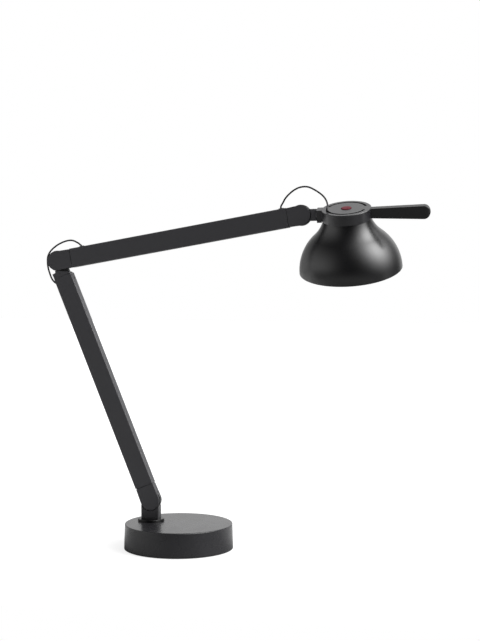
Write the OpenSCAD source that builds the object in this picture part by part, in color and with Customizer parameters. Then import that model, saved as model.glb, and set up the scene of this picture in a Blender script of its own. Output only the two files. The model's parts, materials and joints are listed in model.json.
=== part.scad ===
// Adjustable desk lamp: a weighted round base, a swivelling post, two flat arms on
// tongue-and-fork hinges, and a ring head with a bell shade, a grip and a push button.
// Millimetres, +Z up. The origin is the centre of the face that the lamp rests on,
// and +X runs in the plane of the arms, from the base towards the head.

/* [Base] */
// Diameter of the base at its foot
base_d = 180; // [172:1:200]
// How much narrower the base is across its top
base_taper = 2.5; // [0:0.5:4]
// Height of the base above the table
base_h = 41.5; // [39:0.5:50]
// Wall of the base cover
cover_wall = 2; // [1.5:0.25:2.5]
// Rounding of the cover's top edge
cover_round = 1.2; // [1:0.2:4]
// Thickness of the pad that the lamp rests on
pad_h = 2.5; // [2:0.25:4]
// How far the pad stands below the cover
pad_show = 1; // [0.5:0.25:1.5]
// Thickness of the plate that closes the base
plate_h = 2.5; // [2:0.25:3]
// Bore of the cable gland
inlet_d = 6.6; // [5:0.2:7.4]

/* [Post] */
// From the base's edge in to the swivel, along the arms' plane
post_inset = 39.5; // [36:0.5:44]
// Place of the swivel behind the centre of the base
post_y = 10.2; // [4:0.2:14]
// Height of the foot hinge's axis above the table
pivot_h = 75.8; // [74:0.2:90]
// Width of the post
post_w = 30.6; // [29:0.2:31.6]
// Diameter of the disc under the post
flange_d = 44; // [42:0.5:52]
// Thickness of the disc under the post
flange_h = 4; // [2:0.25:5]
// Diameter of the swivel spindle
spindle_d = 20; // [18:0.5:22]

/* [Arms] */
// Lower arm, from the foot hinge to the elbow
lower_len = 429.5; // [300:0.5:600]
// Upper arm, from the elbow to the head hinge
upper_len = 421.5; // [300:0.5:600]
// Width of the arm tubes, seen from the side of the lamp
tube_w = 32; // [30:0.5:36]
// Thickness of the arm tubes, along the hinge axes
tube_t = 17.2; // [16.6:0.2:20]
// Wall of the arm tubes
tube_wall = 1.6; // [1.2:0.1:2]
// Rounding of the arm tubes' long edges
tube_round = 1.8; // [1:0.1:2.4]
// Diameter of the leads that join the arms outside
lead_d = 2.8; // [2.2:0.1:3]

/* [Hinges] */
// How far a hinge cap lies in from the narrow sides of its tube
cap_inset = 0.8; // [0.4:0.1:1.2]
// How far a hinge cap lies in from the broad sides of its tube
cap_relief = 0.4; // [0.2:0.1:0.6]
// Shadow gap between a hinge cap and its tube
seam_w = 0.8; // [0.4:0.1:1.2]
// From a hinge axis to the joint line between a fork cap and its tube
fork_len = 26; // [25:0.5:32]
// The same at the head, where the fork cap is shorter
head_fork_len = 22.3; // [21.5:0.1:26]
// From the elbow axis to the joint line of the tongue cap
tongue_len = 27.7; // [27.5:0.1:32]
// Thickness of a hinge's tongue
tongue_t = 7; // [6:0.25:7.5]
// How far a tongue's disc stands proud of the fork's cheeks
tongue_proud = 1; // [0.5:0.1:1.2]
// Thickness of a friction washer
washer_t = 1; // [0.8:0.05:1.2]
// Diameter of a hinge pin
pin_d = 8; // [7:0.25:9]
// Gap between a fork's round end and the seat around it
seat_gap = 1.2; // [0.8:0.1:1.5]
// Direction of the upper arm, above level, where the elbow closes on its stop
stop_rise = -4.5; // [-8:0.5:0]

/* [Neck] */
// From the head hinge to the centre of the ring
neck_len = 73.9; // [72:0.1:84]
// Height of the neck
neck_h = 19.2; // [16:0.2:20]
// Thickness of the neck
neck_t = 14; // [12:0.25:15.5]
// Diameter of the spindle that the head rolls on
roll_d = 10; // [8:0.5:10.5]

/* [Ring] */
// Outer diameter of the ring
ring_d = 80; // [79:0.5:86]
// Width of the ring's rim, from outside to slot
ring_rim = 6.6; // [6.2:0.1:7.4]
// Width of the two curved slots
slot_w = 4.1; // [3.6:0.1:4.6]
// Half the angle of each bridge between the slots
bridge_angle = 17.5; // [14:0.5:18.5]
// Height of the ring
ring_h = 17.4; // [17:0.2:20]
// Height of the ring's top above the axis that the head rolls on
ring_top = 9.4; // [9:0.1:10]
// Thickness of the ring's top disc
disc_t = 4; // [3.5:0.25:5]
// How far the boss stands out from the ring, towards the neck
boss_reach = 7.6; // [6.5:0.1:9]
// Thickness of the boss
boss_t = 16.8; // [16:0.2:18]
// How far the boss reaches below the axis that the head rolls on
boss_drop = 11; // [10:0.2:12]
// Diameter of the push button
button_d = 16.8; // [15:0.2:17.4]
// How far the push button stands above the ring
button_proud = 1; // [0.6:0.1:1.6]
// Travel of the push button
button_travel = 1; // [0.6:0.1:1.1]

/* [Handle] */
// From the centre of the ring to the tip of the handle
handle_reach = 133.6; // [110:0.2:160]
// Height of the handle at the ring
handle_root_h = 15.6; // [14:0.2:16.4]
// Height of the handle near its tip
handle_tip_h = 21.4; // [18:0.2:24]
// Thickness of the handle
handle_t = 11.4; // [10:0.2:13]

/* [Shade] */
// Outer diameter of the shade's throat, under the ring
shade_top_d = 77.2; // [76.4:0.2:78.8]
// Outer diameter of the shade's mouth
shade_mouth_d = 167; // [150:0.5:190]
// Height of the shade below the ring
shade_h = 85.2; // [80:0.2:100]
// Wall of the shade
shade_wall = 1.2; // [0.9:0.1:1.4]
// Slope of the shade's side at the throat, from its axis
throat_slope = 17.3; // [12:0.1:24]
// Steepest slope of the shade's side, where the flare turns into the bell
waist_slope = 49.3; // [46:0.1:54]
// Slope of the shade's side at the mouth
mouth_slope = 0.7; // [0:0.1:4]
// Thickness of the white reflector inside the shade
liner_t = 0.8; // [0.6:0.1:1.2]

/* [Pose] */
// Lean of the lower arm from upright, away from the head
lean = 22.1; // [21.6:0.1:22.6]
// Rise of the upper arm from level
rise = 10.1; // [9.6:0.1:10.6]
// Rise of the neck from level
neck_rise = 1.5; // [1:0.1:2]
// Roll of the head on the neck
head_roll = 19.2; // [18.6:0.1:19.8]

/* [Hidden] */
$fn = 72;

coat = "#2b2b2d";
steel = "#b8bbc0";
nylon = "#e4e2da";
rubber = "#1c1c1e";

// Clearances: a running fit, a piece that is only put in place, and a cut's run-out
run_fit = 0.05;
loose_fit = 0.15;
free_gap = 0.3;
over = 1;

// Base
function base_r(z) = (base_d - base_taper * z / base_h) / 2;
post_x = post_inset - base_d / 2;
post_angle = atan2(post_y, post_x);
plate_top = pad_h + plate_h;
plate_r = base_d / 2 - cover_wall - 1;
weight_top = base_h - cover_wall;
weight_r = base_r(base_h) - cover_wall - 2;
screw_ring_r = weight_r - 7;
plate_screw_d = 4;
plate_thread = 12;
plate_hex_d = 2.6;
bush_wall = 2;
bush_d = spindle_d + 2 * bush_wall;
bush_rim_d = bush_d + 10;
bush_top = base_h + 0.1;
nut_room_d = spindle_d + 26;
nut_room_top = 20;
nut_h = 8;
thrust_h = 2;
nut_top = nut_room_top - thrust_h;
spindle_foot = nut_top - nut_h - 1;
stud_d = 12;
stud_len = 10;
lead_bore_d = 7;
driver_size = [64, 34, 18];
driver_x = 25;
wire_w = 8;
gland_z = 17;
gland_d = 12;
gland_rim_d = 16;
gland_rim_h = 2.5;
gland_nose_h = 6;
gland_nut_h = 4;
gland_len = 14;
gland_room = [gland_rim_d + 4, gland_len + 4.8];
// The cover is round, so the gland's flat rim and nut stand off its wall by a little
gland_lift = 0.35;

// Arms and hinges
cap_w = tube_w - 2 * cap_inset;
cap_t = tube_t - 2 * cap_relief;
knuckle_r = tube_w / 2;
tongue_r = knuckle_r + tongue_proud;
fork_gap = tongue_t + 2 * (washer_t + 0.02);
seat_r = knuckle_r + seat_gap;
floor_r = tongue_r + seat_gap;
spigot_len = 14;
spigot_w = tube_w - 2 * tube_wall - 2 * loose_fit;
spigot_t = tube_t - 2 * tube_wall - 2 * loose_fit;
blind_depth = 2.4;
slot_floor = 7;
// The web that joins the elbow's tongue to its seat, and the room for it in the fork
web_x = 12.5;
web_slot = 21.5;
pin_head_d = pin_d + 5;
pin_head_h = 2;
friction_d = 26;
stem_half = 14;
cap_lead_x = -2.9;
tongue_lead_x = -9;
channel_d = lead_d + 1.2;
// Height above the stud at which the lead crosses over inside the post
post_turn = 2.2;
// The lead's way out of the lower arm, and the slot across from it
exit_drop = 36.6;
exit_slot = [6.4, 3.6];
side_drop = 37;
side_slot = [5.4, 1.8];
// Where the two leads pass the upper tube's top side, from the elbow and from the head hinge
entry_at = 46;
leave_at = 30.6;
grommet_len = 8.6;
grommet_w = 6.6;
grommet_h = 1.2;
grommet_plug_d = 5.4;
close_turn = lean - stop_rise;

// Head
ring_r = ring_d / 2;
bore_r = ring_r - ring_rim;
disc_r = bore_r - slot_w;
ring_bottom = ring_top - ring_h;
bridge_h = 8;
boss_face = ring_r + boss_reach;
neck_end = neck_len - boss_face - 0.5;
roll_seat = bore_r + 0.7;
roll_washer_t = 1;
roll_washer_x = neck_len - roll_seat + 0.02;
roll_thread = 10;
roll_head_d = 9;
shade_r = shade_top_d / 2;
mouth_r = shade_mouth_d / 2;
liner_gap = 0.3;
liner_top_r = 45;
shade_bead = 1.8;
sink_r = disc_r - 0.5;
sink_bottom = -21;
core_r = 19.5;
pocket_r = 10.5;
pocket_floor = -10;
plate_t = 3;
fins = 24;
fin_root = 1.5;
fin_lead_in = 0.8;
fin_t = 1.2;
fin_top = -2;
screw_circle_r = 15;
shade_screw_r = ring_r - 4;
shade_thread = 7.6;
handle_tip_r = handle_tip_h / 2;
handle_tip_x = handle_reach - handle_tip_r;
handle_root_n = 0.85;
handle_tip_n = -0.3;
tenon = [7.5, 6, 4.6];
tenon_n = 4.4;
handle_screw_n = -3;
handle_screw_d = 3;
handle_screw_depth = 14;
head_screw_d = 3;
roll_screw_d = 5;
shade_screw_d = 2;
screw_slack = 0.1;
board_t = 1.6;
chip = [3, 3, 0.7];
button_floor = ring_top - disc_t - 0.05;
button_rim_t = 1.2;
lead_angle = -159.6;
clip = [3, 8, 6];
clip_floor = -8;
lead_r = (bore_r + disc_r) / 2;

// Routes of the leads: round numbers chosen by hand
// Elbow lead: x and z from the elbow axis
elbow_route = [
    [-1, -39.2], [-5.2, -36.8], [-9, -33.4], [-12, -28.6], [-14.4, -22.6], [-16.6, -16],
    [-18.2, -9], [-18.8, -1], [-18.2, 6.6], [-15, 13.6], [-9.6, 19.8], [-2.4, 25.4],
    [4.4, 29.2], [11.2, 32], [18, 33.8], [24, 34.2], [29, 33.1], [33.4, 31], [37.2, 29]
];
// Head lead: x, y and z from the head hinge's axis
head_route = [
    [-29.6, 0, 21], [-26, 0, 27.4], [-20, 0, 34], [-12.8, 0, 39.8], [-5.4, 0, 43.8],
    [1.6, 0, 45.8], [8, -0.4, 46], [14.4, -1.2, 44.4], [21.4, -2.4, 41], [28.8, -4.2, 36.6],
    [35.8, -6.4, 31.4], [41, -8.8, 25.6], [44, -10.8, 19.6], [45, -12, 14]
];

// The shade's outline is two arcs that meet at its steepest slope: a flare, then a bell.
// The radii are what takes the outline from the throat to the mouth in the shade's height.
flare_rise = sin(waist_slope) - sin(throat_slope);
flare_run = cos(throat_slope) - cos(waist_slope);
bell_rise = sin(waist_slope) - sin(mouth_slope);
bell_run = cos(mouth_slope) - cos(waist_slope);
mix = flare_rise * bell_run - bell_rise * flare_run;
flare_r = (shade_h * bell_run - bell_rise * (mouth_r - shade_r)) / mix;
bell_r = (flare_rise * (mouth_r - shade_r) - flare_run * shade_h) / mix;
flare_centre = [shade_r + flare_r * cos(throat_slope), ring_bottom + flare_r * sin(throat_slope)];
bell_centre = [
    flare_centre.x - (flare_r + bell_r) * cos(waist_slope),
    flare_centre.y - (flare_r + bell_r) * sin(waist_slope)
];

// Places: each module puts its children in one piece's own axes
module at_post() translate([post_x, post_y, 0]) children();
module at_foot() translate([post_x, post_y, pivot_h]) children();
module at_lower_arm() at_foot() rotate([0, -lean, 0]) children();
module at_lower_elbow() at_lower_arm() translate([0, 0, lower_len]) children();
module at_elbow() at_lower_elbow() rotate([0, lean, 0]) children();
module at_upper_arm() at_elbow() rotate([0, 90 - rise, 0]) children();
module at_head_hinge() at_upper_arm() translate([0, 0, upper_len]) children();
module at_head_level() at_head_hinge() rotate([0, rise - 90, 0]) children();
module at_neck() at_head_level() rotate([0, -neck_rise, 0]) children();
module at_head() at_neck() translate([neck_len, 0, 0]) rotate([head_roll, 0, 0]) children();

// The same places as points: the elbow, the head hinge, and a point in the head's axes
function level(p, up) = [p.x * cos(up) - p.z * sin(up), p.y, p.x * sin(up) + p.z * cos(up)];
function rolled(p) = [
    p.x,
    p.y * cos(head_roll) - p.z * sin(head_roll),
    p.y * sin(head_roll) + p.z * cos(head_roll)
];
function from_hinge(p) = level([neck_len, 0, 0] + rolled(p), neck_rise);

// Tubes swept along a list of points, with eight sides
lead_sides = 8;
function unit(v) = v / norm(v);
function tangent(path, i) = unit(path[min(i + 1, len(path) - 1)] - path[max(i - 1, 0)]);
function section(p, t, r, toward) = let (
    b = unit(cross(t, toward)),
    c = cross(b, t)
) [
    for (k = [0 : lead_sides - 1])
        let (a = 360 * k / lead_sides)
        p + r * (cos(a) * b + sin(a) * c)
];
module swept(path, r, toward = [0, 1, 0]) {
    n = lead_sides;
    last = len(path) - 1;
    points = [for (i = [0 : last]) each section(path[i], tangent(path, i), r, toward)];
    sides = [
        for (i = [0 : last - 1], k = [0 : n - 1])
            let (a = i * n + k, b = i * n + (k + 1) % n)
            each [[a, b, b + n], [a, b + n, a + n]]
    ];
    start_cap = [for (k = [1 : n - 2]) [0, k + 1, k]];
    end_cap = [for (k = [1 : n - 2]) [last * n, last * n + k, last * n + k + 1]];
    polyhedron(points = points, faces = concat(start_cap, sides, end_cap));
}

// Flat outlines
module rounded_rect(w, h, r) {
    square([w - 2 * r, h], center = true);
    square([w, h - 2 * r], center = true);
    for (x = [-1, 1], y = [-1, 1]) {
        translate([x * (w / 2 - r), y * (h / 2 - r)]) circle(r = r);
    }
}
module long_hole(l, w) {
    square([l - w, w], center = true);
    for (x = [-1, 1]) {
        translate([x * (l - w) / 2, 0]) circle(d = w);
    }
}
// A round bar or hole from one height to another, and the same turned along X or Y
module bar(d, from, to) translate([0, 0, from]) cylinder(d = d, h = to - from);
module bar_x(d, from, to) rotate([0, 90, 0]) bar(d, from, to);
module bar_y(d, from, to) rotate([-90, 0, 0]) bar(d, from, to);
// A six-sided key's socket, cut down from a screw's face at the given height
module key(d, face, depth) translate([0, 0, face - over]) cylinder(d = d, h = over + depth, $fn = 6);
// Stands an outline drawn in X and Y up in X and Z, and gives it a thickness along Y
module across(t) rotate([90, 0, 0]) linear_extrude(t, center = true) children();

// Base

module cover_shape(inset, foot_z) {
    top_z = base_h - inset;
    top_r = base_r(base_h) - inset;
    r = max(cover_round - inset, 0.5);
    polygon([
        [0, foot_z], [base_r(0) - inset, foot_z], [top_r, top_z - r], [top_r - r, top_z], [0, top_z]
    ]);
    translate([top_r - r, top_z - r]) circle(r = r);
}

module base_cover() {
    color(coat) difference() {
        rotate_extrude() difference() {
            cover_shape(0, pad_show);
            cover_shape(cover_wall, pad_show - over);
        }
        at_post() bar(bush_rim_d + 2 * loose_fit, weight_top, base_h + over);
        translate([0, 0, gland_z]) bar_y(gland_d + 2 * loose_fit, 0, base_d);
    }
}

// Each of the three screws that hold the plate, clear of the post
module at_plate_screws() {
    for (i = [0 : 2]) {
        rotate([0, 0, post_angle + 60 + 120 * i]) translate([screw_ring_r, 0, 0]) children();
    }
}

module base_weight() {
    room = [driver_size.x + 4, driver_size.y + 4, driver_size.z + 1];
    color("#4c4c4e") difference() {
        translate([0, 0, plate_top]) cylinder(r = weight_r, h = weight_top - plate_top);
        at_post() cylinder(d = bush_d + 2 * run_fit, h = base_h);
        at_post() cylinder(d = nut_room_d, h = nut_room_top);
        translate([driver_x - room.x / 2, -room.y / 2, 0]) cube([room.x, room.y, plate_top + room.z]);
        translate([post_x, -wire_w / 2, 0]) cube([-post_x, wire_w, plate_top + wire_w]);
        translate([-wire_w / 2, 0, 0]) cube([wire_w, base_d, gland_z + wire_w / 2]);
        translate([-gland_room.x / 2, base_r(gland_z) - gland_room.y, 0])
            cube([gland_room.x, gland_room.y, gland_z + gland_room.x / 2]);
        at_plate_screws() bar(plate_screw_d + 2 * run_fit, 0, plate_top + plate_thread + 2);
    }
}

module base_plate() {
    color("#6a6c70") difference() {
        translate([0, 0, pad_h]) cylinder(r = plate_r, h = plate_h);
        at_plate_screws() {
            cylinder(d = plate_screw_d + 2 * loose_fit, h = plate_top + over);
            translate([0, 0, pad_h])
                cylinder(d1 = 2 * plate_screw_d + 0.4, d2 = plate_screw_d + 0.2, h = plate_screw_d / 2);
        }
    }
}

module base_pad() {
    color(rubber) cylinder(r = plate_r - 2, h = pad_h);
}

module plate_screws() {
    color(steel) at_plate_screws() difference() {
        union() {
            bar(plate_screw_d, pad_h, plate_top + plate_thread);
            translate([0, 0, pad_h])
                cylinder(d1 = 2 * plate_screw_d, d2 = plate_screw_d, h = plate_screw_d / 2 - screw_slack);
        }
        key(plate_hex_d, pad_h, 1.4);
    }
}

module driver() {
    color("#d8d8d4") translate([driver_x, 0, plate_top]) linear_extrude(driver_size.z)
        rounded_rect(driver_size.x, driver_size.y, 3);
}

// The driver's lead runs under the swivel's nut and turns up into the hollow spindle
module driver_lead() {
    z = plate_top + lead_d / 2 + free_gap;
    room_x = post_x + nut_room_d / 2;
    color(rubber) swept([
        [driver_x - driver_size.x / 2, 0, z], [room_x + 7.5, 0, z], [room_x - 2.5, 1.5, z],
        [room_x - 10.5, 6, z], [post_x + 4.4, post_y - 0.6, z], [post_x + 1.4, post_y, z + 0.7],
        [post_x + 0.2, post_y, z + 3], [post_x, post_y, z + 7.4]
    ], lead_d / 2, [0, 0.1, 1]);
}

// The inlet's own axis runs out through the back of the base
module at_gland() translate([0, base_r(gland_z), gland_z]) rotate([-90, 0, 0]) children();

module cable_gland() {
    color(rubber) at_gland() difference() {
        union() {
            translate([0, 0, -gland_len]) cylinder(d = gland_d, h = gland_len + gland_lift);
            translate([0, 0, gland_lift]) cylinder(d = gland_rim_d, h = gland_rim_h);
            translate([0, 0, gland_rim_h])
                cylinder(d1 = gland_d + 1, d2 = gland_d - 2, h = gland_nose_h);
        }
        bar(inlet_d, -gland_len - over, gland_rim_h + gland_nose_h + over);
    }
}

module gland_nut() {
    color(rubber) at_gland() translate([0, 0, -cover_wall - gland_nut_h - 0.9]) difference() {
        cylinder(d = gland_rim_d + 2, h = gland_nut_h, $fn = 6);
        translate([0, 0, -over]) cylinder(d = gland_d + 2 * run_fit, h = gland_nut_h + 2 * over);
    }
}

module swivel_bush() {
    color(nylon) at_post() difference() {
        union() {
            bar(bush_d, nut_room_top, bush_top);
            bar(bush_rim_d, weight_top, bush_top);
        }
        cylinder(d = spindle_d + 2 * run_fit, h = 2 * base_h);
    }
}

// Post

module swivel_spindle() {
    color(steel) at_post() difference() {
        union() {
            bar(spindle_d, spindle_foot, bush_top);
            bar(stud_d, spindle_foot, bush_top + flange_h + stud_len);
        }
        bar(lead_bore_d, 0, 2 * base_h);
    }
}

module swivel_flange() {
    color("#161617") at_post() translate([0, 0, bush_top]) difference() {
        union() {
            cylinder(d = flange_d, h = flange_h - 0.6);
            cylinder(d1 = flange_d, d2 = flange_d - 1.2, h = flange_h);
        }
        translate([0, 0, -over]) cylinder(d = stud_d + 2 * run_fit, h = flange_h + 2 * over);
    }
}

module swivel_washers() {
    color(nylon) at_post() translate([0, 0, nut_top]) difference() {
        cylinder(d = nut_room_d - 6, h = thrust_h);
        translate([0, 0, -over]) cylinder(d = spindle_d + 2 * run_fit, h = thrust_h + 2 * over);
    }
}

module swivel_nut() {
    color(steel) at_post() translate([0, 0, nut_top - nut_h]) difference() {
        cylinder(d = spindle_d + 14, h = nut_h, $fn = 6);
        translate([0, 0, -over]) cylinder(d = spindle_d + 2 * run_fit, h = nut_h + 2 * over);
    }
}

// A tongue: a disc about the hinge axis on a stem that runs down to its block
module tongue(left, right, down) {
    across(tongue_t) {
        circle(r = tongue_r);
        translate([-left, -down]) square([left + right, down]);
    }
}

module hinge_bore() bar_y(pin_d + 2 * run_fit, -tube_t, tube_t);

// The two round seats that the fork's cheeks turn in, either side of a tongue
module cheek_seats() {
    for (side = [-1, 1]) {
        rotate([0, 0, side * 90 - 90]) bar_y(2 * seat_r, tongue_t / 2, tube_t);
    }
}

module post() {
    foot = bush_top + flange_h - pivot_h;
    turn = foot + stud_len + post_turn;
    color(coat) at_foot() difference() {
        union() {
            difference() {
                translate([0, 0, foot]) linear_extrude(-foot - 2) rounded_rect(post_w, tube_t, 2.4);
                cheek_seats();
                rotate([90, 0, 0]) cylinder(r = tongue_r - over, h = tongue_t, center = true);
            }
            tongue(stem_half, stem_half, -foot - 6);
        }
        hinge_bore();
        bar(stud_d + 2 * run_fit, foot - over, foot + stud_len + 0.4);
        // The lead's way: up the stud, across, and up through the tongue
        bar(channel_d, foot, turn + channel_d / 2);
        translate([0, 0, turn]) bar_x(channel_d, tongue_lead_x - channel_d / 2, channel_d / 2);
        translate([tongue_lead_x, 0, 0]) bar(channel_d, turn - channel_d / 2, tongue_r);
    }
}

module post_lead() {
    turn = bush_top + flange_h + stud_len + post_turn;
    bend = 0.7;
    top = pivot_h + sqrt(tongue_r * tongue_r - tongue_lead_x * tongue_lead_x) - 0.6;
    color(rubber) at_post() swept([
        [0, 0, plate_top + lead_d / 2 + 7.8], [0, 0, 30], [0, 0, turn - 2.5], [-bend, 0, turn - bend],
        [-2.5, 0, turn], [tongue_lead_x + 2.5, 0, turn], [tongue_lead_x + bend, 0, turn + bend],
        [tongue_lead_x, 0, turn + 2.5], [tongue_lead_x, 0, top]
    ], lead_d / 2);
}

// Hinges: fork caps, their pins and friction washers

// A fork cap stands on its hinge axis, with the tube up Z. Its cheeks end round about the
// axis, and its floor is cut concentric with the tongue's disc.
module fork_cap(l) {
    color(coat) difference() {
        union() {
            across(cap_t) {
                circle(r = knuckle_r);
                polygon([
                    [-knuckle_r, 0], [knuckle_r, 0],
                    [cap_w / 2, l - seam_w], [-cap_w / 2, l - seam_w]
                ]);
            }
            translate([0, 0, l - seam_w - over])
                linear_extrude(spigot_len + seam_w + over) rounded_rect(spigot_w, spigot_t, 1);
        }
        bar_y(2 * floor_r, -fork_gap / 2, fork_gap / 2);
        translate([-tube_w, -fork_gap / 2, -2 * knuckle_r])
            cube([2 * tube_w, fork_gap, 2 * knuckle_r + slot_floor]);
        bar_y(pin_d + 2 * run_fit, -fork_gap / 2 - blind_depth, tube_t / 2);
        bar_y(pin_head_d + 2 * loose_fit, cap_t / 2 - pin_head_h, cap_t / 2 + over);
        translate([0, 0, l]) cube([spigot_w - 6, spigot_t - 5, 2 * spigot_len], center = true);
    }
}

module hinge_pin() {
    color(steel) difference() {
        union() {
            bar_y(pin_head_d, cap_t / 2 - pin_head_h, cap_t / 2);
            bar_y(pin_d, screw_slack - fork_gap / 2 - blind_depth, cap_t / 2);
        }
        rotate([90, 0, 0]) key(pin_d / 2, -cap_t / 2, 1.5);
    }
}

module hinge_washers() {
    color("#8d8f94") for (side = [-1, 1]) {
        rotate([side * 90, 0, 0]) difference() {
            bar(friction_d, tongue_t / 2 + 0.01, tongue_t / 2 + 0.01 + washer_t);
            bar(pin_d + 0.4, 0, tongue_t / 2 + 2 * washer_t);
        }
    }
}

// An arm tube runs up Z between two joint lines
module arm_tube(from, to) {
    translate([0, 0, from]) linear_extrude(to - from) difference() {
        rounded_rect(tube_w, tube_t, tube_round);
        rounded_rect(tube_w - 2 * tube_wall, tube_t - 2 * tube_wall, 0.6);
    }
}

// Lower arm

module lower_foot_cap() {
    at_lower_arm() difference() {
        fork_cap(fork_len);
        translate([cap_lead_x, 0, 0]) cylinder(d = channel_d, h = fork_len + over);
    }
}

// Cuts the lead's way out on the left of the lower arm, and the slot on its right
module arm_slots() {
    translate([-cap_w, 0, -exit_drop]) rotate([0, 90, 0])
        linear_extrude(cap_w) long_hole(exit_slot.x, exit_slot.y);
    translate([0, 0, -side_drop]) rotate([0, 90, 0])
        linear_extrude(cap_w) long_hole(side_slot.x, side_slot.y);
}

module lower_tube() {
    color(coat) at_lower_arm() difference() {
        arm_tube(fork_len, lower_len - tongue_len);
        translate([0, 0, lower_len]) arm_slots();
    }
}

// The tongue cap's face: a shoulder on the left, a notch beside the tongue, and a flat
// seat that the upper arm's edge comes down on. The seat lies along the arm's direction at
// the stop, and just misses the fork's round ends.
module tongue_cap_face() {
    seat = knuckle_r + 0.4;
    // The left shoulder's height and the notch's width, from the elbow axis
    shoulder = 18.4;
    notch = 11;
    // Where the right shoulder starts, and the relief that runs up from it
    corner = 14;
    difference() {
        translate([-cap_w / 2, seam_w / 2 - tongue_len]) square([cap_w, tongue_len]);
        rotate(-close_turn) translate([-2 * tube_w, -seat]) square([4 * tube_w, 2 * tube_w]);
        translate([-2 * tube_w, -shoulder]) square([2 * tube_w - notch, tube_w]);
        translate([-2 * tube_w, 2 - shoulder]) square([2 * tube_w - notch + 2, tube_w]);
        translate([-notch, 2 - shoulder]) circle(r = 2);
        translate([corner, -tongue_len]) rotate(12) square([tube_w, tube_w]);
    }
}

module lower_elbow_cap() {
    color(coat) at_lower_elbow() difference() {
        union() {
            difference() {
                across(cap_t) tongue_cap_face();
                cheek_seats();
            }
            tongue(9, web_x, tongue_len - 1);
            translate([0, 0, -tongue_len - spigot_len])
                linear_extrude(spigot_len + over) rounded_rect(spigot_w, spigot_t, 1);
        }
        hinge_bore();
        bar(8, -tongue_len - 2 * spigot_len, 3.4 - exit_drop);
        arm_slots();
        // Lets the lead out through the side of the spigot
        translate([-cap_w, -exit_slot.y / 2, -tongue_len - spigot_len - over])
            cube([cap_w, exit_slot.y, tongue_len + spigot_len + over - exit_drop + exit_slot.x / 2]);
    }
}

module foot_pin() at_lower_arm() hinge_pin();
module foot_washers() at_lower_arm() hinge_washers();

module lower_lead() {
    exit = elbow_route[0];
    // The lead's mouth, turned from the elbow's level axes into the arm's own
    mouth = level([exit.x, 0, exit.y], -lean);
    next = level([elbow_route[1].x, 0, elbow_route[1].y], -lean);
    way = unit(next - mouth);
    color(rubber) at_lower_arm() swept([
        [cap_lead_x, 0, floor_r + 0.4], [cap_lead_x, 0, fork_len + spigot_len], [-1, 0, 90],
        [0, 0, lower_len / 2], [0, 0, lower_len - 60], [-0.4, 0, lower_len - 46],
        [mouth.x - way.x * 9, 0, lower_len + mouth.z - way.z * 5 - 2],
        [mouth.x - way.x * 3, 0, lower_len + mouth.z - way.z * 3],
        [mouth.x, 0, lower_len + mouth.z]
    ], lead_d / 2);
}

// Upper arm

module upper_elbow_cap() {
    at_upper_arm() difference() {
        fork_cap(fork_len);
        // Room for the tongue's web on the underside, when the arms are closed
        translate([0, -fork_gap / 2, 0]) cube([tube_w, fork_gap, web_slot]);
    }
}

module upper_head_cap() {
    at_head_hinge() difference() {
        rotate([0, 180, 0]) fork_cap(head_fork_len);
        translate([0, 0, -leave_at]) bar_x(grommet_plug_d + 1, -tube_w / 2, 6.5 - tube_w / 2);
    }
}
module elbow_pin() at_upper_arm() hinge_pin();
module elbow_washers() at_upper_arm() hinge_washers();
module head_pin() at_head_hinge() hinge_pin();
module head_washers() at_head_hinge() hinge_washers();

// Both leads pass the tube's top side, each in an oval grommet
module at_grommets() {
    for (z = [entry_at, upper_len - leave_at]) {
        translate([-tube_w / 2, 0, z]) rotate([0, -90, 0]) children();
    }
}

module upper_tube() {
    color(coat) at_upper_arm() difference() {
        arm_tube(fork_len, upper_len - head_fork_len);
        at_grommets() bar(grommet_plug_d + 2 * loose_fit, -2 * tube_wall, over);
    }
}

module upper_grommets() {
    color(rubber) at_upper_arm() at_grommets() difference() {
        union() {
            linear_extrude(grommet_h) long_hole(grommet_len, grommet_w);
            bar(grommet_plug_d, -tube_wall - 0.6, grommet_h);
        }
        bar(lead_d + 0.3, -5, 5);
    }
}

module upper_lead() {
    skin = -tube_w / 2 - grommet_h;
    color(rubber) at_upper_arm() swept([
        [skin, 0, entry_at], [skin + 3, 0, entry_at], [-9.5, 0, entry_at + 1.2], [-5, 0, entry_at + 5],
        [-2, 0, entry_at + 14], [0, 0, 90], [0, 0, upper_len / 2], [0, 0, upper_len - 75],
        [-2, 0, upper_len - leave_at - 14], [-5, 0, upper_len - leave_at - 5],
        [-9.5, 0, upper_len - leave_at - 1.2], [skin + 3, 0, upper_len - leave_at],
        [skin, 0, upper_len - leave_at]
    ], lead_d / 2);
}

// A point beside the upper arm, a distance along it and out of its top side, in level axes
function beside_arm(along, out) = [
    along * cos(rise) - out * sin(rise), 0, along * sin(rise) + out * cos(rise)
];

module elbow_lead() {
    out = tube_w / 2 + grommet_h;
    route = concat(
        [for (p = elbow_route) [p.x, 0, p.y]],
        [beside_arm(entry_at - 1.8, out + 3.4), beside_arm(entry_at - 0.4, out + 2)],
        [beside_arm(entry_at, out + 0.8), beside_arm(entry_at, out)]
    );
    color(rubber) at_elbow() swept(route, lead_d / 2);
}

module head_lead() {
    out = tube_w / 2 + grommet_h;
    slot = [lead_r * cos(lead_angle), lead_r * sin(lead_angle), 0];
    route = concat(
        [beside_arm(-leave_at, out), beside_arm(-leave_at, out + 1.4)],
        [beside_arm(-leave_at + 1, out + 3.8)],
        head_route,
        [for (h = [ring_top + 3.4, ring_top - 2, ring_top - 6, -1.9]) from_hinge(slot + [0, 0, h])]
    );
    color(rubber) at_head_level() swept(route, lead_d / 2);
}

// Neck

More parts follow.
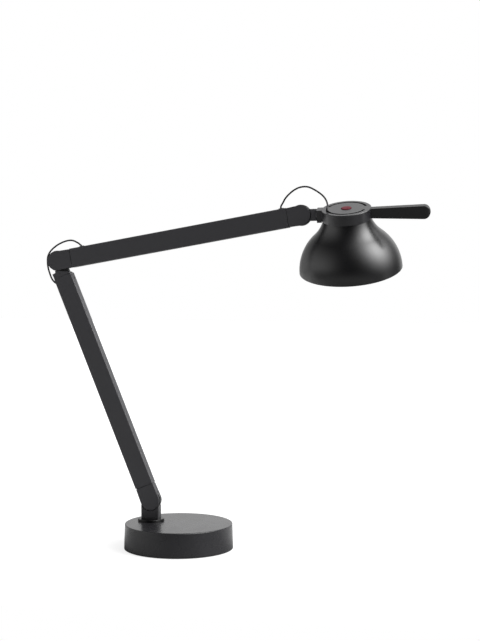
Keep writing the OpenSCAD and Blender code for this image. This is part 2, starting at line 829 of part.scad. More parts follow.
module neck() {
    color(coat) at_neck() difference() {
        union() {
            difference() {
                translate([knuckle_r / 2, 0, 0]) rotate([0, 90, 0])
                    linear_extrude(neck_end - knuckle_r / 2) rounded_rect(neck_h, neck_t, 2.5);
                cheek_seats();
                rotate([90, 0, 0]) cylinder(r = tongue_r - over, h = tongue_t, center = true);
            }
            rotate([0, 90, 0]) mirror([0, 0, 1]) tongue(neck_h / 2, neck_h / 2, neck_end - 2);
            bar_x(roll_d, neck_end - over, neck_len - roll_seat);
        }
        hinge_bore();
        bar_x(roll_screw_d + screw_slack, neck_len - roll_seat - roll_thread - 2, neck_len);
    }
}

module roll_washers() {
    color("#8d8f94") at_neck() {
        difference() {
            bar_x(boss_t - 1, neck_end, neck_end + 0.48);
            bar_x(roll_d + 0.2, 0, neck_len);
        }
        difference() {
            bar_x(roll_d + 3, roll_washer_x, roll_washer_x + roll_washer_t);
            bar_x(roll_screw_d + 0.4, 0, 2 * neck_len);
        }
    }
}

module roll_screw() {
    seat = roll_washer_x + roll_washer_t;
    face = seat + 2.2;
    color(steel) at_neck() difference() {
        union() {
            bar_x(roll_head_d, seat, face);
            bar_x(roll_screw_d, seat - roll_washer_t - roll_thread, face - over);
        }
        translate([face, 0, 0]) rotate([0, -90, 0]) key(3.4, 0, 1.2);
    }
}

// Head

module wedge(half, r) polygon([
    [0, 0], [r * cos(half), -r * sin(half)], [r, 0], [r * cos(half), r * sin(half)]
]);
module both_bridges() {
    for (turn = [0, 180]) {
        rotate(turn) wedge(bridge_angle, 1.2 * ring_r);
    }
}

module ring_wall() {
    c = 0.7;
    rotate_extrude() polygon([
        [bore_r, ring_bottom], [ring_r, ring_bottom], [ring_r, ring_top - c], [ring_r - c, ring_top],
        [bore_r, ring_top]
    ]);
}

module at_circle(r, angles) {
    for (a = angles) {
        rotate([0, 0, a]) translate([r, 0, 0]) children();
    }
}
shade_screw_angles = [90, 210, 330];
sink_screw_angles = [30, 150, 270];

module ring_collar() {
    color(coat) at_head() difference() {
        union() {
            ring_wall();
            translate([0, 0, ring_top - disc_t]) linear_extrude(disc_t) {
                circle(r = disc_r);
                intersection() {
                    circle(r = bore_r + over);
                    both_bridges();
                }
            }
            translate([0, 0, ring_top - bridge_h]) linear_extrude(bridge_h) difference() {
                intersection() {
                    circle(r = bore_r + over);
                    both_bridges();
                }
                circle(r = disc_r);
            }
            difference() {
                translate([-boss_face, -boss_t / 2, -boss_drop])
                    cube([boss_reach + 3, boss_t, boss_drop + ring_top]);
                translate([-ring_r - 0.1, -boss_t, ring_bottom - 2 * boss_drop])
                    cube([ring_r, 2 * boss_t, 2 * boss_drop]);
                cylinder(r = bore_r, h = 60, center = true);
            }
        }
        bar(button_d + 2 * free_gap, ring_top - disc_t - over, ring_top + over);
        bar_x(roll_d + 2 * run_fit, -boss_face - over, -over);
        bar_x(roll_d + 4, -roll_seat, over - disc_r);
        translate([disc_r, -tenon.y / 2 - loose_fit, tenon_n - tenon.z / 2 - loose_fit])
            cube([20, tenon.y + 2 * loose_fit, tenon.z + 2 * loose_fit]);
        translate([0, 0, handle_screw_n]) bar_x(handle_screw_d + 2 * screw_slack, disc_r, ring_r + over);
        at_circle(shade_screw_r, shade_screw_angles)
            bar(shade_screw_d + 2 * screw_slack, ring_bottom - over, ring_bottom + shade_thread + 0.4);
        at_circle(screw_circle_r, sink_screw_angles)
            bar(head_screw_d + screw_slack, ring_top - disc_t - over, ring_top - disc_t + 2);
    }
}

// The handle: a tapered side outline with a round tip, crossed with a plan whose tip is round too
module handle() {
    root = ring_r - 4;
    nose = handle_reach - handle_t / 2;
    color(coat) at_head() difference() {
        intersection() {
            across(2 * handle_t) {
                polygon([
                    [root, handle_root_n - handle_root_h / 2],
                    [handle_tip_x, handle_tip_n - handle_tip_r],
                    [handle_tip_x, handle_tip_n + handle_tip_r],
                    [root, handle_root_n + handle_root_h / 2]
                ]);
                translate([handle_tip_x, handle_tip_n]) circle(r = handle_tip_r);
            }
            translate([0, 0, -handle_tip_h]) linear_extrude(2 * handle_tip_h) {
                translate([root, -handle_t / 2]) square([nose - root, handle_t]);
                translate([nose, 0]) circle(d = handle_t);
            }
        }
        difference() {
            cylinder(r = ring_r + 0.02, h = 60, center = true);
            translate([ring_r - tenon.x, -tenon.y / 2, tenon_n - tenon.z / 2])
                cube([tenon.x + 5, tenon.y, tenon.z]);
        }
        translate([0, 0, handle_screw_n])
            bar_x(handle_screw_d + screw_slack, ring_r - 2, ring_r + handle_screw_depth);
    }
}

module handle_screw() {
    color(steel) at_head() translate([bore_r, 0, handle_screw_n]) rotate([0, 90, 0]) difference() {
        union() {
            bar(5.6, -2, -0.2);
            bar(handle_screw_d, -1, ring_rim + handle_screw_depth - 2);
        }
        key(2.2, -2, 1.2);
    }
}

module heat_sink() {
    color("#9a9da1") at_head() difference() {
        union() {
            translate([0, 0, sink_bottom]) cylinder(r = sink_r, h = plate_t);
            bar(2 * core_r, sink_bottom, ring_top - disc_t);
            for (i = [0 : fins - 1]) {
                rotate([0, 0, 360 * (i + 0.5) / fins])
                    translate([core_r - fin_root, -fin_t / 2, sink_bottom + over])
                    cube([sink_r - fin_lead_in - core_r + fin_root, fin_t, fin_top - sink_bottom - over]);
            }
        }
        translate([0, 0, pocket_floor]) cylinder(r = pocket_r, h = 30);
        at_circle(screw_circle_r, sink_screw_angles)
            bar(head_screw_d + 2 * loose_fit, sink_bottom - over, ring_top);
        rotate([0, 0, lead_angle]) translate([sink_r - clip.x, -clip.y / 2 - screw_slack, clip_floor])
            cube([2 * clip.x, clip.y + 2 * screw_slack, 2 * clip.z]);
    }
}

module head_screws() {
    color(steel) at_head() at_circle(screw_circle_r, sink_screw_angles) difference() {
        union() {
            bar(5.4, sink_bottom - 2, sink_bottom);
            bar(head_screw_d, sink_bottom - over, ring_top - disc_t + 1.6);
        }
        key(2.4, sink_bottom - 2, 1.2);
    }
}

module led_board() {
    color("#f2f1ec") at_head() translate([0, 0, sink_bottom - board_t]) difference() {
        cylinder(r = sink_r - 2.6, h = board_t);
        at_circle(screw_circle_r, sink_screw_angles) bar(6, -over, board_t + over);
    }
}

module led_chips() {
    color("#f3d75b") at_head() for (row = [[7, 6], [21.5, 15]], i = [0 : row[1] - 1]) {
        rotate([0, 0, 360 * i / row[1]])
            translate([row[0] - chip.x / 2, -chip.y / 2, sink_bottom - board_t - chip.z]) cube(chip);
    }
}

// The opal dome: a short skirt on the heat sink's plate and a shallow spherical cap below it
module diffuser() {
    skirt = 3;
    sag = 10;
    wall = 1.4;
    dome_r = (sink_r * sink_r + sag * sag) / (2 * sag);
    color("#f6f5f0") at_head() translate([0, 0, sink_bottom]) rotate_extrude() {
        translate([sink_r - wall, -skirt]) square([wall, skirt]);
        intersection() {
            translate([0, dome_r - sag - skirt]) difference() {
                circle(r = dome_r);
                circle(r = dome_r - wall);
            }
            translate([0, -skirt - 2 * sag]) square([sink_r, 2 * sag]);
        }
    }
}

// Part of a ring between two radii and two angles: a piece of the shade's outline
module band(centre, inner, outer, from, to) {
    translate(centre) intersection() {
        difference() {
            circle(r = outer, $fn = 180);
            circle(r = inner, $fn = 180);
        }
        polygon([
            [0, 0], 2 * outer * [cos(from), sin(from)],
            2.4 * outer * [cos((from + to) / 2), sin((from + to) / 2)], 2 * outer * [cos(to), sin(to)]
        ]);
    }
}

module shade() {
    mouth_z = ring_bottom - shade_h;
    color(coat) at_head() difference() {
        rotate_extrude($fn = 120) {
            intersection() {
                band(
                    flare_centre, flare_r, flare_r + shade_wall,
                    180 + throat_slope - 4, 180 + waist_slope
                );
                translate([0, ring_bottom - shade_h]) square([mouth_r, shade_h]);
            }
            band(bell_centre, bell_r - shade_wall, bell_r, mouth_slope, waist_slope);
            translate([bore_r + free_gap, ring_bottom - shade_wall])
                square([shade_r - bore_r - 0.7, shade_wall]);
            translate([mouth_r - shade_bead / 2, mouth_z + shade_bead / 2]) circle(d = shade_bead);
        }
        at_circle(shade_screw_r, shade_screw_angles)
            bar(shade_screw_d + 2 * loose_fit, ring_bottom - 2 * shade_wall, ring_bottom + shade_wall);
    }
}

module reflector() {
    skin = shade_wall + liner_gap;
    // The liner starts where the flare's inside reaches its top radius
    start = acos((flare_centre.x - liner_top_r) / (flare_r + skin));
    color("#f4f3ef") at_head() rotate_extrude($fn = 120) {
        band(flare_centre, flare_r + skin, flare_r + skin + liner_t, 180 + start, 180 + waist_slope);
        intersection() {
            band(bell_centre, bell_r - skin - liner_t, bell_r - skin, mouth_slope, waist_slope + 0.5);
            translate([0, ring_bottom - shade_h + 2.2]) square([mouth_r, shade_h]);
        }
    }
}

module shade_screws() {
    seat = ring_bottom - shade_wall;
    color(steel) at_head() at_circle(shade_screw_r, shade_screw_angles) difference() {
        union() {
            bar(3.4, seat - 1.3, seat);
            bar(shade_screw_d, seat - over, seat + shade_thread);
        }
        key(1.6, seat - 1.3, 0.7);
    }
}

module switch_body() {
    color("#202022") at_head() {
        translate([0, 0, pocket_floor]) cylinder(r = 6.4, h = 7.5);
        translate([0, 0, pocket_floor + 7]) cylinder(r = 2, h = 1.4);
    }
}

// A small clip on the heat sink takes the head lead under the slot
module lead_clip() {
    reach = bore_r - sink_r + clip.x - free_gap;
    color(nylon) at_head() rotate([0, 0, lead_angle])
        translate([sink_r - clip.x, -clip.y / 2, clip_floor]) cube([reach, clip.y, clip.z]);
}

spring_r = 8.4;
spring_wire = 0.8;
spring_turns = 4;
spring_top = button_floor - button_rim_t - spring_wire / 2 - 0.05;
spring_foot = pocket_floor + spring_wire / 2 + 0.05;
module button_spring() {
    steps = 16 * spring_turns;
    color(steel) at_head() swept([
        for (i = [0 : steps])
            let (a = 360 * spring_turns * i / steps)
            [spring_r * cos(a), spring_r * sin(a), spring_foot + (spring_top - spring_foot) * i / steps]
    ], spring_wire / 2, [0, 0, 1]);
}

module button() {
    top = ring_top + button_proud;
    color("#8e1226") at_head() rotate_extrude() polygon([
        [0, pocket_floor + 8.4 + button_travel + 0.3], [3, pocket_floor + 8.4 + button_travel + 0.3],
        [3, button_floor - button_rim_t], [button_d / 2 + 1.1, button_floor - button_rim_t],
        [button_d / 2 + 1.1, button_floor], [button_d / 2, button_floor],
        [button_d / 2, top - 0.6], [button_d / 2 - 0.6, top], [0, top + 0.3]
    ]);
}

base_cover();
base_weight();
base_plate();
base_pad();
plate_screws();
driver();
driver_lead();
cable_gland();
gland_nut();
swivel_bush();
swivel_spindle();
swivel_flange();
swivel_washers();
swivel_nut();
post();
post_lead();
lower_foot_cap();
lower_tube();
lower_elbow_cap();
foot_pin();
foot_washers();
lower_lead();
upper_elbow_cap();
upper_tube();
upper_head_cap();
elbow_pin();
elbow_washers();
head_pin();
head_washers();
upper_grommets();
upper_lead();
elbow_lead();
head_lead();
neck();
roll_washers();
roll_screw();
ring_collar();
handle();
handle_screw();
heat_sink();
head_screws();
led_board();
led_chips();
diffuser();
reflector();
shade();
shade_screws();
switch_body();
lead_clip();
button_spring();
button();
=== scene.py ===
# %% [markdown]
# # A jointed desk lamp in satin black
#
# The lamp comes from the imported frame: every rigid piece is already there at its real size
# and place, in metres. This file gives each piece its finish, softens the edges that a coat
# of powder would soften, and draws what bends: the two leads over the joints and the coil
# spring under the button. Then come the table and the light. The frame is loaded first,
# because nothing may be moved once it is there.

# %% Load the frame
import json
import math

import bmesh
import bpy
import numpy as np
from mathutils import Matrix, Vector


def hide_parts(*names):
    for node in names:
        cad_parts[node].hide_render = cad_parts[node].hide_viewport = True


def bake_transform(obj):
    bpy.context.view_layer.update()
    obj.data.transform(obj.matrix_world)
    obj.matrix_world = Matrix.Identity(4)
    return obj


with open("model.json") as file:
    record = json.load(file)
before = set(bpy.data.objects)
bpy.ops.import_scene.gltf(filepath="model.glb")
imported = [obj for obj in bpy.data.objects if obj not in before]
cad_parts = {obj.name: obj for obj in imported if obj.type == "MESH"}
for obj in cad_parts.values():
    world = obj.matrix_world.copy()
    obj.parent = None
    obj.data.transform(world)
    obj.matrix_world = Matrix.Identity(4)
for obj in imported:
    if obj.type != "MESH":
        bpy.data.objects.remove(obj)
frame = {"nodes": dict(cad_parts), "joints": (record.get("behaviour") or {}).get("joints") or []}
nodes = frame["nodes"]
joints = {joint["name"]: joint for joint in frame["joints"]}
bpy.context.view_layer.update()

# %% [markdown]
# ## The camera
#
# A lamp this tall is photographed from a little above its base, far away and with a long
# lens, so that its uprights stay upright. The place and the lens come from fitting one
# camera to the photograph: about 2.3 m away, turned 13 degrees to the left and 3 degrees
# down. Blender measures the lens against the long side of the picture.

# %% Place the camera
CAMERA_PLACE = (0.63441, -2.23991, 0.49515)
CAMERA_DOWN = math.radians(2.9242)
CAMERA_TURN = math.radians(13.3186)
LENS_MM = 79.72
SENSOR_MM = 36.0

scene = bpy.context.scene
camera_data = bpy.data.cameras.new("camera")
camera_data.lens = LENS_MM
camera_data.sensor_width = SENSOR_MM
camera_data.clip_start = 0.05
camera_data.clip_end = 50.0
camera = bpy.data.objects.new("camera", camera_data)
camera.location = CAMERA_PLACE
camera.rotation_euler = (math.pi / 2 - CAMERA_DOWN, 0.0, CAMERA_TURN)
scene.collection.objects.link(camera)
scene.camera = camera
scene.view_settings.view_transform = "Standard"
print("camera at", CAMERA_PLACE, "with a lens of", LENS_MM, "mm")

# %% [markdown]
# ## Effects that several finishes share
#
# Powder coat, plastic and rubber all show the same three things up close: a fine grain, a
# slow change of tone across the piece, and small rubs where hands and tables touch. Each is
# built once as a node group with named sockets, and every material then sets its own
# amounts. A group gives out only colours, masks and heights, and the shader stays in the
# material.

# %% A helper for node groups
def new_group(name, inputs, outputs):
    """An empty shader group with float or colour sockets, and its two end nodes."""
    group = bpy.data.node_groups.new(name, "ShaderNodeTree")
    for label, kind, value in inputs:
        group.interface.new_socket(label, in_out="INPUT", socket_type=kind).default_value = value
    for label, kind in outputs:
        group.interface.new_socket(label, in_out="OUTPUT", socket_type=kind)
    start = group.nodes.new("NodeGroupInput")
    end = group.nodes.new("NodeGroupOutput")
    return group, start, end


def math_node(tree, operation, first, second=None, clamp=False):
    """A Math node whose inputs are sockets or numbers, and its output."""
    made = tree.nodes.new("ShaderNodeMath")
    made.operation = operation
    made.use_clamp = clamp
    for slot, value in ((0, first), (1, second)):
        if value is None:
            continue
        if isinstance(value, (int, float)):
            made.inputs[slot].default_value = value
        else:
            tree.links.new(value, made.inputs[slot])
    return made.outputs[0]


def ramp_node(tree, factor, stops):
    """A Color Ramp with grey stops, given as (place, value)."""
    made = tree.nodes.new("ShaderNodeValToRGB")
    elements = made.color_ramp.elements
    while len(elements) < len(stops):
        elements.new(0.5)
    for element, (place, value) in zip(elements, stops):
        element.position = place
        element.color = (value, value, value, 1.0)
    tree.links.new(factor, made.inputs["Fac"])
    return made.outputs["Color"]


def noise_node(tree, vector, scale, detail=2.0, roughness=0.5):
    """A Noise Texture in object coordinates. The scale is a number or a socket."""
    made = tree.nodes.new("ShaderNodeTexNoise")
    made.inputs["Detail"].default_value = detail
    made.inputs["Roughness"].default_value = roughness
    tree.links.new(vector, made.inputs["Vector"])
    if isinstance(scale, (int, float)):
        made.inputs["Scale"].default_value = scale
    else:
        tree.links.new(scale, made.inputs["Scale"])
    return made.outputs["Fac"]


print("group helpers are ready")

# %% [markdown]
# The grain of a powder coat is a skin of tiny flowed beads, less than half a millimetre
# wide, over a slower orange peel. Two noises of different size, added as a height, give
# both. A third, much slower noise shifts the roughness a little, so a reflection breaks up
# softly.

# %% Coat grain
coat_grain, start, end = new_group(
    "coat_grain",
    [("Grain Scale", "NodeSocketFloat", 2600.0), ("Peel Scale", "NodeSocketFloat", 420.0),
     ("Roughness", "NodeSocketFloat", 0.4), ("Spread", "NodeSocketFloat", 0.08)],
    [("Height", "NodeSocketFloat"), ("Roughness", "NodeSocketFloat")],
)
BEAD_HEIGHT, PEEL_HEIGHT, DRIFT_SCALE = 0.6, 0.8, 38.0
place = coat_grain.nodes.new("ShaderNodeTexCoord").outputs["Object"]
fine = noise_node(coat_grain, place, start.outputs["Grain Scale"], detail=1.0)
peel = noise_node(coat_grain, place, start.outputs["Peel Scale"], detail=2.0)
beads = math_node(coat_grain, "MULTIPLY", fine, BEAD_HEIGHT)
waves = math_node(coat_grain, "MULTIPLY", peel, PEEL_HEIGHT)
height = math_node(coat_grain, "ADD", beads, waves)
coat_grain.links.new(height, end.inputs["Height"])
slow = noise_node(coat_grain, place, DRIFT_SCALE, detail=3.0)
drift = math_node(coat_grain, "SUBTRACT", slow, 0.5)
shift = math_node(coat_grain, "MULTIPLY", drift, start.outputs["Spread"])
rough = math_node(coat_grain, "ADD", start.outputs["Roughness"], shift, clamp=True)
coat_grain.links.new(rough, end.inputs["Roughness"])
print("coat_grain:", len(coat_grain.nodes), "nodes")

# %% [markdown]
# A used lamp picks up a film of dust and a few light rubs. Each is a mask: broad noise
# decides where the film lies, on faces that look up, and a stretched, finer noise with a
# hard threshold draws the rubs. Both lift the colour, and dust makes the coat duller too.

# %% Rubs and dust
rubs, start, end = new_group(
    "rubs_and_dust",
    [("Rub Amount", "NodeSocketFloat", 0.3), ("Dust Amount", "NodeSocketFloat", 0.2)],
    [("Rubs", "NodeSocketFloat"), ("Dust", "NodeSocketFloat")],
)
STREAK_SCALE, PATCH_SCALE, DUST_SCALE = 900.0, 26.0, 14.0
place = rubs.nodes.new("ShaderNodeTexCoord").outputs["Object"]
stretch = rubs.nodes.new("ShaderNodeMapping")
stretch.inputs["Scale"].default_value = (1.0, 1.0, 0.22)
stretch.inputs["Rotation"].default_value = (0.5, 0.35, 0.2)
rubs.links.new(place, stretch.inputs["Vector"])
streak = noise_node(rubs, stretch.outputs["Vector"], STREAK_SCALE, detail=1.5)
patch = noise_node(rubs, place, PATCH_SCALE, detail=2.0)
thin_lines = ramp_node(rubs, streak, [(0.66, 0.0), (0.74, 1.0)])
rubbed_areas = ramp_node(rubs, patch, [(0.5, 0.0), (0.66, 1.0)])
where = math_node(rubs, "MULTIPLY", thin_lines, rubbed_areas)
rubs.links.new(math_node(rubs, "MULTIPLY", where, start.outputs["Rub Amount"]), end.inputs["Rubs"])
clouds = noise_node(rubs, place, DUST_SCALE, detail=5.0, roughness=0.62)
film = ramp_node(rubs, clouds, [(0.42, 0.0), (0.72, 1.0)])
facing = rubs.nodes.new("ShaderNodeSeparateXYZ")
rubs.links.new(rubs.nodes.new("ShaderNodeNewGeometry").outputs["Normal"], facing.inputs["Vector"])
upward = math_node(rubs, "MAXIMUM", facing.outputs["Z"], 0.0)
lying = math_node(rubs, "MULTIPLY", film, upward)
settled = math_node(rubs, "MULTIPLY", lying, start.outputs["Dust Amount"])
rubs.links.new(settled, end.inputs["Dust"])
print("rubs_and_dust:", len(rubs.nodes), "nodes")

# %% [markdown]
# Coat thins over a corner, so an edge is a shade lighter than the face beside it. The Bevel
# node knows how far the normal would turn near an edge; comparing it with the true normal
# gives a mask that follows every edge, whatever the mesh is. Its normal also rounds the
# edge in the light.

# %% Worn edges
edges, start, end = new_group(
    "worn_edges",
    [("Radius", "NodeSocketFloat", 0.0006), ("Amount", "NodeSocketFloat", 0.5)],
    [("Edge", "NodeSocketFloat"), ("Normal", "NodeSocketVector")],
)
EDGE_GAIN, CHIP_SCALE = 3.2, 160.0
soft = edges.nodes.new("ShaderNodeBevel")
soft.samples = 4
edges.links.new(start.outputs["Radius"], soft.inputs["Radius"])
edges.links.new(soft.outputs["Normal"], end.inputs["Normal"])
geometry = edges.nodes.new("ShaderNodeNewGeometry")
compare = edges.nodes.new("ShaderNodeVectorMath")
compare.operation = "DOT_PRODUCT"
edges.links.new(soft.outputs["Normal"], compare.inputs[0])
edges.links.new(geometry.outputs["Normal"], compare.inputs[1])
bend = math_node(edges, "SUBTRACT", 1.0, compare.outputs["Value"])
turned = math_node(edges, "MULTIPLY", bend, EDGE_GAIN, clamp=True)
place = edges.nodes.new("ShaderNodeTexCoord").outputs["Object"]
chips = noise_node(edges, place, CHIP_SCALE, detail=4.0)
broken = ramp_node(edges, chips, [(0.35, 0.25), (0.65, 1.0)])
worn = math_node(edges, "MULTIPLY", turned, broken)
edges.links.new(math_node(edges, "MULTIPLY", worn, start.outputs["Amount"]), end.inputs["Edge"])
print("worn_edges:", len(edges.nodes), "nodes")

# %% [markdown]
# Seams, slots and the wedge of the elbow look nearly black on the lamp, because they lie in
# shade. This shade is painted into the colour: an occlusion lookup a few millimetres deep
# gives a mask of how open each place is, and the coats fade almost to black where it is closed.

# %% Painted shade in closed places
cavities, start, end = new_group(
    "cavities", [("Depth", "NodeSocketFloat", 0.008)], [("Open", "NodeSocketFloat")],
)
nearby = cavities.nodes.new("ShaderNodeAmbientOcclusion")
nearby.samples = 6
cavities.links.new(start.outputs["Depth"], nearby.inputs["Distance"])
openness = ramp_node(cavities, nearby.outputs["AO"], [(0.3, 0.0), (0.8, 1.0)])
cavities.links.new(openness, end.inputs["Open"])
print("cavities:", len(cavities.nodes), "nodes")

# %% [markdown]
# ## Finishes
#
# Every finish starts from one helper that wires the four groups to a Principled shader.
# The colour is written once for clean, flat coat; rubs, edges and dust mix towards a
# lighter tone of it, and closed places go towards black as painted shade. What is the same
# all over a surface, such as how much it mirrors, is set on the shader's own socket.

# %% The coated finish
def mix_colour(tree, factor, first, second):
    """A colour mix whose inputs are sockets or RGB triples."""
    made = tree.nodes.new("ShaderNodeMix")
    made.data_type = "RGBA"
    colour_inputs = [s for s in made.inputs if s.type == "RGBA"]
    tree.links.new(factor, made.inputs["Factor"])
    for socket, value in zip(colour_inputs, (first, second)):
        if isinstance(value, tuple):
            socket.default_value = (*value, 1.0)
        else:
            tree.links.new(value, socket)
    return next(s for s in made.outputs if s.type == "RGBA")


PALE_LIFT = 0.004
DUST_KEEPS, DUST_GREY, DUST_DULLS = 0.75, 0.06, 0.35
# Painted shade: the share of the colour that is left in closed places
PAINTED_SHADE_TONE = 0.05
RELIEF_DEPTH = 0.0002


def coated(name, colour, roughness, grain=2600.0, peel=420.0, bump=0.12, spread=0.08, wear=0.5,
           rub=0.25, dust=0.2, light_tone=2.2, metal=0.0, specular=0.5, edge_radius=0.0006,
           shade_depth=0.008):
    """A moulded, coated or cast surface with grain, worn edges, rubs, a film of dust and painted
    shade in closed places.
    """
    made = bpy.data.materials.new(name)
    made.use_nodes = True
    made.diffuse_color = (*colour, 1.0)
    tree = made.node_tree
    shader = tree.nodes["Principled BSDF"]
    skin = tree.nodes.new("ShaderNodeGroup")
    skin.node_tree = coat_grain
    skin.inputs["Grain Scale"].default_value = grain
    skin.inputs["Peel Scale"].default_value = peel
    skin.inputs["Roughness"].default_value = roughness
    skin.inputs["Spread"].default_value = spread
    marks = tree.nodes.new("ShaderNodeGroup")
    marks.node_tree = rubs
    marks.inputs["Rub Amount"].default_value = rub
    marks.inputs["Dust Amount"].default_value = dust
    corner = tree.nodes.new("ShaderNodeGroup")
    corner.node_tree = edges
    corner.inputs["Radius"].default_value = edge_radius
    corner.inputs["Amount"].default_value = wear
    lighter = tuple(min(1.0, c * light_tone + PALE_LIFT) for c in colour)
    dusty = tuple(DUST_KEEPS * c + DUST_GREY for c in colour)
    black = tuple(PAINTED_SHADE_TONE * c for c in colour)
    tone = mix_colour(tree, corner.outputs["Edge"], colour, lighter)
    tone = mix_colour(tree, marks.outputs["Rubs"], tone, lighter)
    tone = mix_colour(tree, marks.outputs["Dust"], tone, dusty)
    # Painted shade: closed places fade towards black
    closed = tree.nodes.new("ShaderNodeGroup")
    closed.node_tree = cavities
    closed.inputs["Depth"].default_value = shade_depth
    tone = mix_colour(tree, closed.outputs["Open"], black, tone)
    tree.links.new(tone, shader.inputs["Base Color"])
    dulled = math_node(tree, "MULTIPLY", marks.outputs["Dust"], DUST_DULLS)
    rough = math_node(tree, "ADD", skin.outputs["Roughness"], dulled, clamp=True)
    tree.links.new(rough, shader.inputs["Roughness"])
    relief = tree.nodes.new("ShaderNodeBump")
    relief.inputs["Strength"].default_value = bump
    relief.inputs["Distance"].default_value = RELIEF_DEPTH
    tree.links.new(skin.outputs["Height"], relief.inputs["Height"])
    tree.links.new(corner.outputs["Normal"], relief.inputs["Normal"])
    tree.links.new(relief.outputs["Normal"], shader.inputs["Normal"])
    shader.inputs["Metallic"].default_value = metal
    shader.inputs["Specular IOR Level"].default_value = specular
    return made


def dress(material, *names):
    """Puts a finish on CAD nodes."""
    for name in names:
        mesh = nodes[name].data
        mesh.materials.clear()
        mesh.materials.append(material)
    print(material.name, "on", ", ".join(names))


# %% [markdown]
# The arms, post and neck are satin black: a fine sand texture that spreads every
# reflection. The post stands in the lower arm's shade and is written a little darker. The
# base has a smoother powder on a larger, plainer form, and the flange under the post is
# nearly black. The ring and grip are cast pieces with a smoother coat again.

# %% Satin black coats
arm_coat = coated("arm_coat", (0.038, 0.0376, 0.043), 0.48, bump=0.05, wear=0.4, rub=0.2,
                  dust=0.08, specular=0.95)
dress(arm_coat, "lower_foot_cap", "lower_tube", "lower_elbow_cap", "upper_elbow_cap",
      "upper_tube", "upper_head_cap", "neck")
post_coat = coated("post_coat", (0.019, 0.0188, 0.0217), 0.4, bump=0.04, wear=0.4, rub=0.2,
                   dust=0.05, specular=0.95)
dress(post_coat, "post")
base_coat = coated("base_coat", (0.019, 0.0188, 0.0213), 0.27, bump=0.02, wear=0.8, rub=0.06,
                   dust=0.03, specular=0.6)
dress(base_coat, "base_cover")
flange_coat = coated("flange_coat", (0.002, 0.002, 0.0023), 0.3, bump=0.03, wear=0.6, rub=0.1,
                     dust=0.01, specular=0.5)
dress(flange_coat, "swivel_flange")
head_coat = coated("head_coat", (0.019, 0.0187, 0.0218), 0.31, bump=0.03, wear=0.6, rub=0.12,
                   dust=0.03, specular=0.86)
dress(head_coat, "ring_collar")
grip_coat = coated("grip_coat", (0.005, 0.005, 0.0056), 0.34, bump=0.03, wear=0.6, rub=0.12,
                   dust=0.02, specular=0.7)
dress(grip_coat, "handle")

# %% [markdown]
# The shade is spun sheet under a very dark, even coat. It mirrors the room softly: one
# broad highlight on the right, a fainter one on the left, and almost black between. A long
# orange peel alone gives the slight waver in the highlight's edge. Inside is a white liner.

# %% The shade's coat
shade_coat = coated("shade_coat", (0.0024, 0.0023, 0.003), 0.31, grain=1500.0, peel=150.0,
                    bump=0.02, spread=0.05, wear=0.5, rub=0.1, dust=0.02, light_tone=2.0,
                    specular=0.85)
dress(shade_coat, "shade")
liner_white = coated("liner_white", (0.86, 0.855, 0.83), 0.45, grain=1800.0, bump=0.06,
                     wear=0.0, rub=0.02, dust=0.0, light_tone=1.05)
dress(liner_white, "reflector")

# %% [markdown]
# Steel pins, screws and washers are turned parts: bright metal with a fine grain and a
# slightly uneven reflection. The weight is rough cast iron. The heat sink is near black
# and dull as painted shade, so the ring's slots above it look as dark as the shade inside.

# %% Steel and other metals
steel = coated("turned_steel", (0.56, 0.57, 0.585), 0.28, grain=3200.0, peel=900.0, bump=0.08,
               spread=0.14, wear=0.3, rub=0.3, dust=0.05, light_tone=1.3, metal=1.0)
dress(steel, "plate_screws", "swivel_spindle", "swivel_nut", "foot_pin", "elbow_pin",
      "head_pin", "foot_washers", "elbow_washers", "head_washers", "roll_washers",
      "roll_screw", "handle_screw", "head_screws", "shade_screws", "button_spring",
      "base_plate")
iron = coated("cast_iron", (0.12, 0.12, 0.125), 0.62, grain=900.0, peel=160.0, bump=0.5,
              wear=0.5, rub=0.4, dust=0.2, metal=0.7)
dress(iron, "base_weight")
# Painted shade: the heat sink is made near black so the slots read dark
sink_painted_shade = coated("sink_painted_shade", (0.003, 0.003, 0.0034), 0.5, grain=2200.0, bump=0.1,
                    wear=0.3, rub=0.1, dust=0.01, light_tone=1.5, specular=0.2)
dress(sink_painted_shade, "heat_sink")

# %% [markdown]
# Plastic and rubber: the gland and grommets are moulded, so they have a fine spark texture
# and no worn edges to speak of. The bushes are pale turned nylon. The pad is a dull sheet.

# %% Plastics and rubber
black_plastic = coated("black_plastic", (0.013, 0.013, 0.014), 0.48, grain=3600.0, bump=0.1,
                       wear=0.3, rub=0.15, dust=0.08)
dress(black_plastic, "cable_gland", "gland_nut", "upper_grommets", "switch_body")
nylon = coated("nylon", (0.74, 0.73, 0.68), 0.5, bump=0.08, wear=0.2, rub=0.1, dust=0.05,
               light_tone=1.15)
dress(nylon, "swivel_bush", "swivel_washers", "lead_clip")
pad_rubber = coated("pad_rubber", (0.018, 0.018, 0.018), 0.85, grain=1500.0, bump=0.4,
                    wear=0.1, rub=0.1, dust=0.25)
dress(pad_rubber, "base_pad")
case_plastic = coated("case_plastic", (0.7, 0.7, 0.67), 0.5, bump=0.12, wear=0.2, rub=0.1,
                      dust=0.05, light_tone=1.15)
dress(case_plastic, "driver")
board_white = coated("board_white", (0.82, 0.81, 0.77), 0.4, bump=0.05, wear=0.1, rub=0.0,
                     dust=0.0, light_tone=1.1)
dress(board_white, "led_board")

# %% [markdown]
# Two pieces let some light in below their skin: the dark red push button, whose rim shows
# a slightly paler line, and the opal dome over the yellow chips. The radius is how far each
# colour travels inside, so red goes furthest in the button.

# %% The red button and the lamp unit
def let_light_in(material, weight, radius):
    """Gives a finish some scatter below its surface. The radius is per colour, in metres."""
    sockets = material.node_tree.nodes["Principled BSDF"].inputs
    sockets["Subsurface Weight"].default_value = weight
    sockets["Subsurface Radius"].default_value = radius


